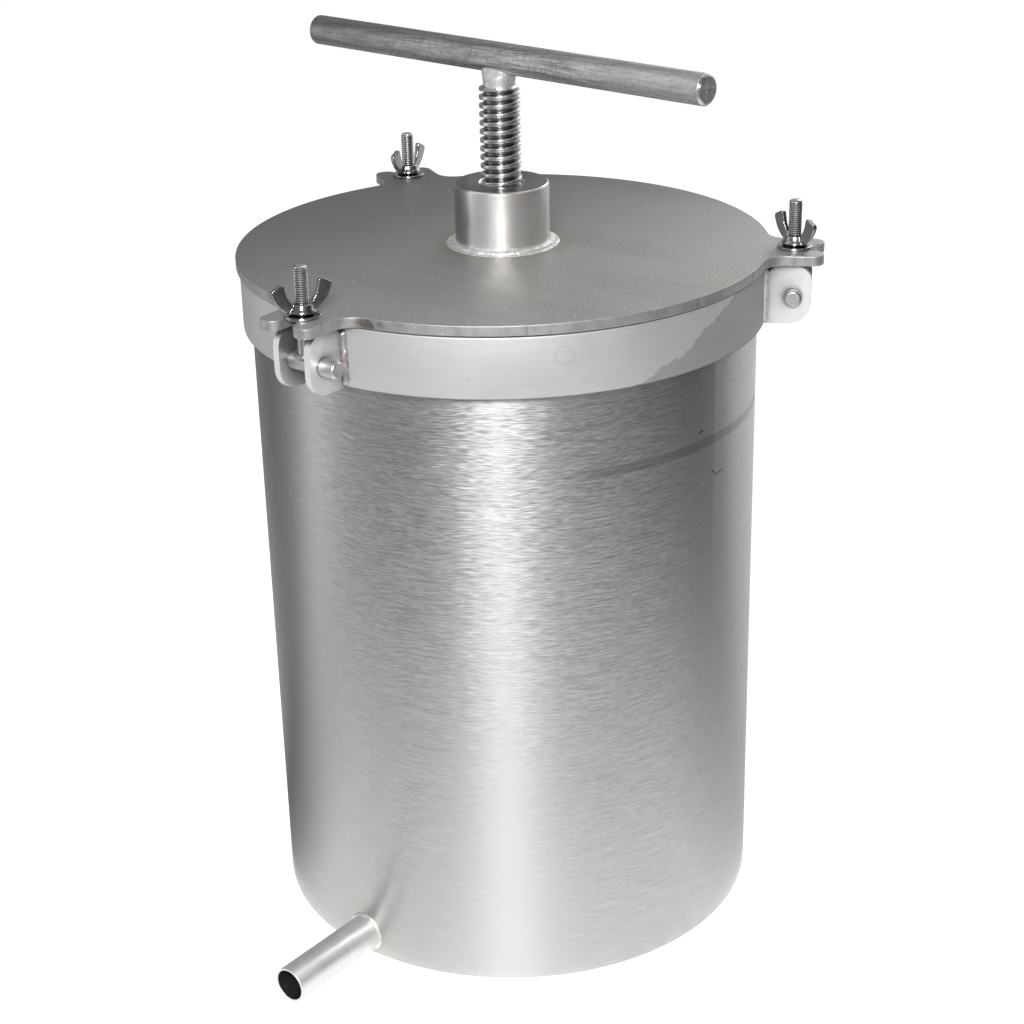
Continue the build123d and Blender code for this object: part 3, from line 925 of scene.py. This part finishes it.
# %% Boss and its weld
mouth_radius = 12.1 * MM
mouth_depth = 1.3 * MM
spigot_radius = 20 * MM
chamfer = 1.0 * MM
shoulder = lid_top - 0.5 * MM
boss_profile = [
    (boss_radius, shoulder),
    (boss_radius, boss_top - chamfer),
    (boss_radius - chamfer, boss_top),
    (mouth_radius + mouth_depth, boss_top),
    (mouth_radius, boss_top - mouth_depth),
    (mouth_radius, boss_low.z),
    (spigot_radius, boss_low.z),
    (spigot_radius, shoulder),
]
boss_rest = (turned, "lid", ("press_nut",), "turned_steel")
turned_piece("press_nut_boss", boss_profile, *boss_rest, rounding=0.35 * MM, steps=128, closed=True)


def radial(angle):
    return Vector((cos(angle), sin(angle), 0))


def boss_foot(angle):
    return radial(angle) * boss_radius + UP * lid_top


bead = ring_bead(boss_foot, radial, UP, "full", steps=420, seed=3)
keep("boss_weld", bead, weld, "lid", (), "turned_steel", crease=80)
puddle = ring_bead(boss_foot, radial, UP, "puddle", steps=240, seed=11)
keep("boss_weld_puddle", puddle, weld, "lid", (), "turned_steel", crease=80)

# %% [markdown]
# ## Threads
# A thread drawn as rings gives itself away at its ends, so these are true helices: one thread profile is
# carried round and up, and each turn's last line is welded to the next turn's first. Planes then cut the
# strip to length. The press screw has the flat-topped profile of a lead screw; the bolts have the fine
# pointed one of ordinary fasteners.


# %% Helper: cut a thread
def helix(bm, profile, pitch, low, high, limit, steps, place=Matrix.Identity(4)):
    """A helical strip from low to high; limit gives the largest radius at a height."""
    first = int(low / pitch) - 1
    turns = int(high / pitch) + 2 - first
    groove = bm.verts.layers.float.new("groove")
    deepest = min(radius for offset, radius in profile)
    highest = max(radius for offset, radius in profile)
    rows = []
    for k in range(turns * steps + 1):
        angle = 2 * pi * k / steps
        base = (first + k / steps) * pitch
        row = []
        for offset, radius in profile:
            height = base + offset
            reach = min(radius, limit(height))
            point = bm.verts.new((reach * cos(angle), reach * sin(angle), height))
            point[groove] = (highest - radius) / (highest - deepest)
            row.append(point)
        rows.append(row)
    for k in range(turns * steps):
        one, two = rows[k], rows[k + 1]
        for j in range(len(profile) - 1):
            bm.faces.new((one[j], two[j], two[j + 1], one[j + 1]))
        if k + steps < turns * steps:
            bm.faces.new((one[-1], two[-1], rows[k + steps + 1][0], rows[k + steps][0]))
    for height, side in ((low, -1), (high, 1)):
        everything = bm.verts[:] + bm.edges[:] + bm.faces[:]
        plane = {"plane_co": (0, 0, height), "plane_no": (0, 0, side)}
        cut = bmesh.ops.bisect_plane(bm, geom=everything, dist=1e-7, clear_outer=True, **plane)
        rim = [item for item in cut["geom_cut"] if isinstance(item, bmesh.types.BMEdge)]
        bmesh.ops.holes_fill(bm, edges=rim, sides=0)
    bm.transform(place)


print("thread helper ready")

# %% Press screw
screw_radius = 12 * MM
core_radius = 9.25 * MM
screw_pitch = 5 * MM
thread_top = 508 * MM
neck_slope = 2.2
crest = 2.20 * MM
flank = 0.60 * MM
root = screw_pitch - crest - 2 * flank
screw_profile = [
    (0.0, core_radius),
    (root, core_radius),
    (root + flank, screw_radius),
    (root + flank + crest, screw_radius),
    (screw_pitch, core_radius),
]
screw_profile = rounded(screw_profile, 0.55 * MM, steps=4)[:-1]


def screw_limit(height):
    """The crest is turned away towards the neck, and bevelled above the hub."""
    top_bevel = core_radius + max(0.0, thread_top - height) * neck_slope
    foot_bevel = core_radius + max(0.0, height - hub_top)
    return min(screw_radius, top_bevel, foot_bevel)


bm = bmesh.new()
helix(bm, screw_profile, screw_pitch, hub_top + 0.05 * MM, thread_top, screw_limit, steps=56)
keep("press_screw_thread", bm, screw, "screw", ("press_screw",), "screw_steel", crease=60)

journal_profile = flat_ring(0, 8 * MM, screw_foot, hub_top + 1 * MM)
journal_rest = (screw, "screw", (), "screw_steel")
turned_piece("screw_journal", journal_profile, *journal_rest, rounding=0.4 * MM, steps=48)

# %% [markdown]
# ## Handle
# The cross bar is welded straight on the screw's neck. Its ends were faced and chamfered on a lathe,
# which left a small centre mark. The neck is a lump of weld that climbs the lower side of the bar.

# %% Cross bar and neck
handle_radius = (handle_high.z - handle_low.z) / 2
handle_heading = radians(-3.1)
handle_way = radial(handle_heading)
handle_half = (handle_high.x - handle_radius * sin(-handle_heading)) / cos(handle_heading)
handle_place = lying((0, 0, handle_height), handle_way)
end_profile = [
    (0.0, handle_half - 0.9 * MM),
    (1.3 * MM, handle_half - 0.05 * MM),
    (handle_radius - 1.5 * MM, handle_half),
    (handle_radius, handle_half - 1.4 * MM),
]
bar_profile = [(radius, -height) for radius, height in end_profile] + end_profile[::-1]
bar_rest = (drawn, "screw", ("handle_bar",), "handle_steel")
bar_turning = {"rounding": 0.35 * MM, "steps": 64, "place": handle_place}
cross_bar = turned_piece("cross_bar", bar_profile, *bar_rest, **bar_turning)
cross_bar.data.materials.append(faced.material)
for polygon in cross_bar.data.polygons:
    if abs(polygon.normal.dot(handle_way)) > 0.6:
        polygon.material_index = 1

saddle_top = handle_height - 4.2 * MM
flare_start = thread_top + 1 * MM
neck_foot = thread_top - 2.0 * MM
bm = bmesh.new()
neck_profile = [
    (0.0, neck_foot),
    (core_radius - 0.1 * MM, neck_foot),
    (core_radius, thread_top + 0.5 * MM),
    (core_radius + 0.3 * MM, thread_top + 4.0 * MM),
    (core_radius + 0.3 * MM, saddle_top - 3.0 * MM),
    (core_radius - 0.2 * MM, saddle_top),
    (0.0, saddle_top + 0.4 * MM),
]
turn(bm, rounded(neck_profile, 2.0 * MM, steps=4), 96)
bmesh.ops.subdivide_edges(bm, edges=bm.edges[:], cuts=1, use_grid_fill=True)
across_bar = UP.cross(handle_way)
swell = 0.55
pinch = 0.30
for vert in bm.verts:
    climb = (vert.co.z - flare_start) / (saddle_top - flare_start)
    climb = min(1.0, max(0.0, climb))
    lump = 1 + climb * (0.07 * noise.noise(vert.co * 180) + 0.03 * noise.noise(vert.co * 480))
    along = vert.co.dot(handle_way) * (1 + swell * climb**2) * lump
    across = vert.co.dot(across_bar) * (1 - pinch * climb**2) * lump
    vert.co = handle_way * along + across_bar * across + UP * vert.co.z
keep("neck_weld", bm, weld, "screw", (), "screw_steel", crease=80)

# %% [markdown]
# ## Drain spout
# The spout is a plain tube sawn square and deburred, so its mouth has a bright rounded lip. Its bore is
# painted near black, as the shade inside the tube. A thin bead joins it to the drum.

# %% Spout and its weld
spout_radius = 11 * MM
spout_bore = 9.5 * MM
spout_way = Vector((0, -1, 0))
spout_place = lying((0, 0, spout_axis_height), spout_way)
spout_inner = drum_radius - 2.6 * MM
spout_profile = [
    (spout_radius, spout_inner),
    (spout_radius, spout_mouth),
    (spout_bore, spout_mouth),
    (spout_bore, spout_inner),
]
spout_rest = (tube, "drum", ("drain_spout",), "spout_tube")
spout_turning = {"rounding": 0.55 * MM, "steps": 72, "closed": True, "place": spout_place}
spout_piece = turned_piece("spout_tube_piece", spout_profile, *spout_rest, **spout_turning)
spout_piece.data.materials.append(bore.material)
for polygon in spout_piece.data.polygons:
    off_axis = Vector((polygon.center.x, polygon.center.z - spout_axis_height)).length
    if off_axis < spout_bore + 0.1 * MM:
        polygon.material_index = 1


def spout_foot(angle):
    x = spout_radius * cos(angle)
    return Vector((x, -sqrt(drum_radius**2 - x * x), spout_axis_height + spout_radius * sin(angle)))


def spout_spread(angle):
    return Vector((cos(angle), 0, sin(angle)))


bead = ring_bead(spout_foot, spout_spread, spout_way, "fine", steps=180, seed=21)
keep("spout_weld", bead, weld, "drum", (), "spout_tube", crease=80)

# %% [markdown]
# ## Clamps
# Each clamp has two clevis plates welded to the band, a cross pin, a bolt that stands on the pin and
# drops into the lid's fork, a washer and a wing nut. The three are alike, so loops make them all, and each
# weld has its own seed.

# %% Clevis plates, pins and their welds
clamp_angles = {"front": 270, "right": 30, "left": 150}
bolt_circle = 170.5 * MM
pin_radius = 5 * MM
pin_height = 389.8 * MM
plate_side = 13.25 * MM
clevis_foot = band_low.z + 1.2 * MM
clevis_weld_top = band_high.z - 2 * MM


def clevis_bead(clamp, side, seed, finish):
    """An upright bead in the corner between a clevis plate's outer face and the band."""
    out = radial(radians(clamp_angles[clamp]))
    across = UP.cross(out) * side
    reach = sqrt(band_radius**2 - plate_side**2)
    steps = 60
    heights = [clevis_foot + (clevis_weld_top - clevis_foot) * k / steps for k in range(steps + 1)]
    path = [out * reach + across * plate_side + UP * height for height in heights]
    slope = (across - out * plate_side / reach).normalized()
    bead = run_bead(path, [slope] * len(path), [out] * len(path), "rough", seed, closed=False)
    letter = "a" if side < 0 else "b"
    keep(f"{clamp}_clevis_weld_{letter}", bead, finish, "drum", (), "clevis_steel", crease=80)


for number, clamp in enumerate(clamp_angles):
    for side, letter in ((-1, "a"), (1, "b")):
        plate = f"{clamp}_clevis_plate_{letter}"
        broken_edges(plate, f"{clamp}_clevis_{letter}", sawn, "drum", 0.5 * MM, "clevis_steel")
        clevis_bead(clamp, side, 31 + 7 * number + side, scaled if clamp == "front" else weld)
    broken_edges(f"{clamp}_cross_pin", f"{clamp}_pin", satin, "drum", 0.35 * MM, "pin_steel")

# %% Swing bolts
bolt_radius = 4 * MM
bolt_pitch = 1.25 * MM
bolt_depth = 0.55 * MM
bolt_profile = [
    (0.0, bolt_radius - bolt_depth),
    (0.16 * MM, bolt_radius - bolt_depth),
    (0.44 * MM, bolt_radius),
    (0.97 * MM, bolt_radius),
]


def make_swing_bolt(clamp, seed):
    out = radial(radians(clamp_angles[clamp]))
    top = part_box(f"{clamp}_swing_bolt")[1].z
    thread_start = lid_low.z - 6 * MM

    def bolt_limit(height):
        return bolt_radius - max(0.0, height - (top - 0.8 * MM))

    bm = bmesh.new()
    place = Matrix.Translation(out * bolt_circle) @ Matrix.Rotation(seed * 1.7, 4, "Z")
    helix(bm, bolt_profile, bolt_pitch, thread_start, top, bolt_limit, steps=32, place=place)
    shank = flat_ring(0, bolt_radius - 0.1 * MM, pin_height, thread_start)
    turn(bm, rounded(shank, 0.2 * MM), 32, place=Matrix.Translation(out * bolt_circle))
    keep(f"{clamp}_bolt", bm, threaded, "drum", (f"{clamp}_swing_bolt",), "fastener_steel", crease=50)

    across = UP.cross(out)

    def root(angle):
        side = bolt_radius * sin(angle)
        climb = sqrt(pin_radius**2 - side * side)
        return out * (bolt_circle + side) + across * bolt_radius * cos(angle) + UP * (pin_height + climb)

    def spread(angle):
        return out * sin(angle) + across * cos(angle)

    bead = ring_bead(root, spread, UP, "small", steps=80, seed=seed)
    keep(f"{clamp}_bolt_weld", bead, scaled, "drum", (), "fastener_steel", crease=80)


for number, clamp in enumerate(clamp_angles):
    make_swing_bolt(clamp, 51 + number)

# %% [markdown]
# ## Washers and wing nuts
# Wing nuts are forged: a hub that narrows upwards and two blades that lean out, all run into each other
# with soft corners. The parts are put together roughly and a voxel remesh melts them into one skin, much
# as the die does, then a little smoothing rounds the edges.

# %% Washers
washer_hole = 4.3 * MM
for clamp in clamp_angles:
    washer_low, washer_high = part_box(f"{clamp}_washer")
    centre = (washer_low + washer_high) / 2
    rim = (washer_high.x - washer_low.x) / 2
    washer_profile = flat_ring(washer_hole, rim, washer_low.z, washer_high.z)
    place = Matrix.Translation((centre.x, centre.y, 0))
    rest = (bright, f"{clamp}_washer", (f"{clamp}_washer",), "fastener_steel")
    turning = {"rounding": 0.4 * MM, "steps": 56, "closed": True, "place": place}
    turned_piece(f"{clamp}_flat_washer", washer_profile, *rest, **turning)

# %% Wing nuts
wing_angles = {"front": 70, "right": -20, "left": 96}
wing_outline = [Vector((4.6, 0.9))]
wing_outline += bend((7.9, 0.8), (15.6, 5.0), (17.9, 13.6))
wing_outline += [Vector((17.3, 15.0)), Vector((12.0, 17.6)), Vector((10.7, 17.3))]
wing_outline += bend((10.2, 16.2), (9.2, 9.2), (5.6, 6.1))
wing_outline += [Vector((4.6, 6.0))]
blade_half = 1.4 * MM


def forge_wing_nut(clamp):
    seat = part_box(f"{clamp}_wing_nut")[0].z
    out = radial(radians(clamp_angles[clamp])) * bolt_circle
    place = Matrix.Translation(out + UP * seat) @ Matrix.Rotation(radians(wing_angles[clamp]), 4, "Z")
    bm = bmesh.new()
    hub_profile = [
        (4.15 * MM, 0), (6.9 * MM, 0), (6.9 * MM, 0.9 * MM), (7.9 * MM, 1.5 * MM), (7.8 * MM, 2.1 * MM),
        (6.4 * MM, 3.8 * MM), (5.7 * MM, 5.9 * MM), (4.15 * MM, 6.0 * MM),
    ]
    turn(bm, hub_profile, 64, closed=True, place=place)
    for side in (-1, 1):
        faces = []
        for depth in (-blade_half, blade_half):
            ring = [bm.verts.new(place @ Vector((side * x * MM, depth, z * MM))) for x, z in wing_outline]
            faces.append(ring)
            bm.faces.new(ring)
        for k in range(len(wing_outline)):
            n = (k + 1) % len(wing_outline)
            bm.faces.new((faces[0][k], faces[0][n], faces[1][n], faces[1][k]))
    node = f"{clamp}_wing_nut"
    piece = keep(f"{clamp}_wings", bm, bright, node, (node,), "fastener_steel", crease=80)
    modify(piece, "melt_together", "REMESH", mode="VOXEL", voxel_size=0.32 * MM, use_smooth_shade=True)
    modify(piece, "soften", "SMOOTH", factor=0.5, iterations=9)
    modify(piece, "thin_out", "DECIMATE", ratio=0.35)


for clamp in clamp_angles:
    forge_wing_nut(clamp)

# %% [markdown]
# ## Inside
# With the lid up, the press plate, its hub, the basket and its stand show. They keep their solids, with
# the edges of the plate and hub broken, and most have a sheet finish that is filmed with wax.

# %% Inside pieces
broken_edges("press_plate", "press_plate_drilled", inner, "plate", 0.5 * MM, "inner_sheet")
broken_edges("plate_hub", "plate_hub_turned", turned, "plate", 0.4 * MM, "turned_steel")
inside_finish = {"keeper_washer": bright, "keeper_bolt": bright, "lid_gasket": rubber}
for node in ("drum_floor", "basket_wall", "basket_floor", "basket_rim", "basket_stand"):
    inside_finish[node] = inner
for node, finish in inside_finish.items():
    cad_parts[node].material_slots[0].material = finish.material
print("inside pieces dressed:", len(inside_finish) + 2)
